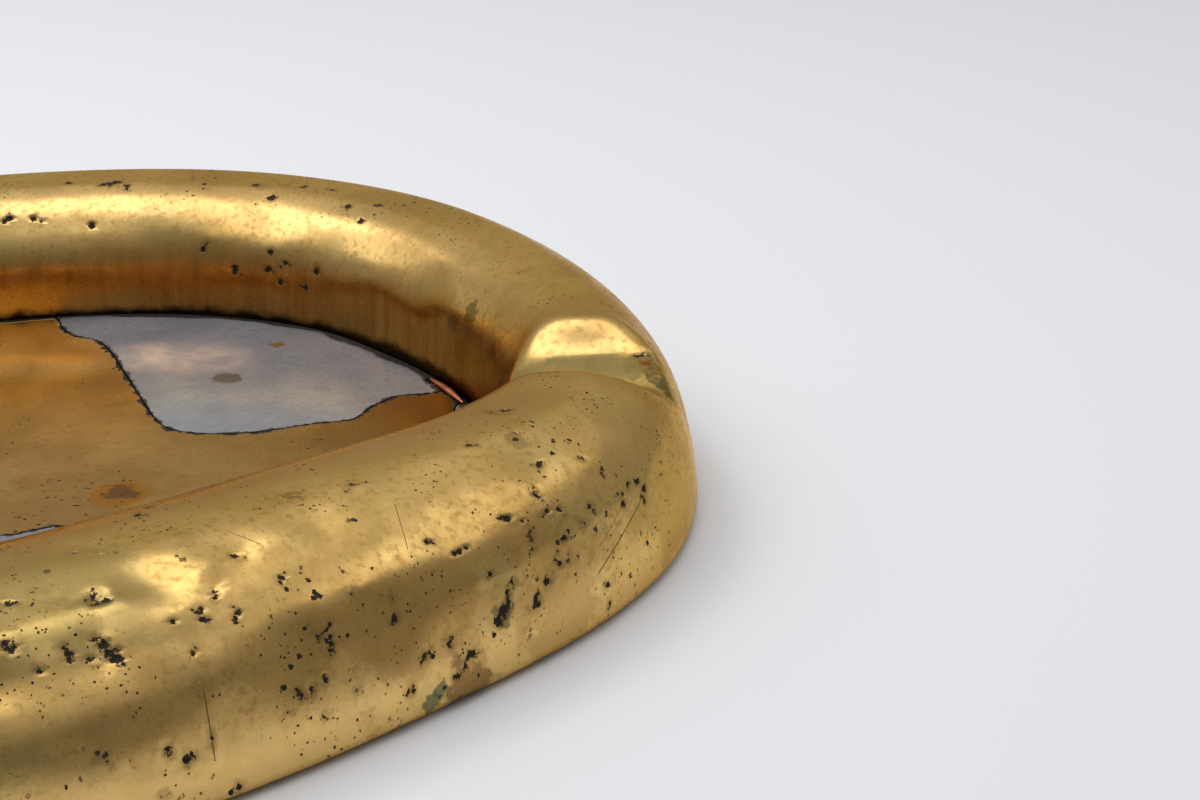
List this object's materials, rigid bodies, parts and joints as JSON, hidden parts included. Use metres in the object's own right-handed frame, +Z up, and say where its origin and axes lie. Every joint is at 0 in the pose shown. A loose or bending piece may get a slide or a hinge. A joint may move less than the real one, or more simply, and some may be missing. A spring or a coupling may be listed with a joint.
{
  "type": "ashtray",
  "caption": "Heavy cast ashtray with a thick rolled rim round a free-form plan, scooped cigarette rests and a flat floor of mixed metals.",
  "frame": {"origin": "middle of the box round the foot, on the surface the ashtray stands on", "axes": "+Z up, +X along the longest side, towards the rest shown in the picture; the picture's camera looks roughly along +Y"},
  "size_m": [0.22, 0.2059, 0.025],
  "materials": {
    "aged_brass": "polished cast brass with a soft gloss, dark casting pits, scratches and an aged tone",
    "floor_brass": "worn, browned brass, satin, with stains",
    "white_metal": "satin grey-white metal with faint spots",
    "copper": "reddish copper, satin, darkened at its edge"
  },
  "bodies": {
    "root": {"rim": "aged_brass", "floor_plate": "floor_brass", "white_metal_patch_back": "white_metal", "white_metal_patch_front": "white_metal", "white_metal_patch_right": "white_metal", "copper_bead": "copper"}
  },
  "joints": []
}
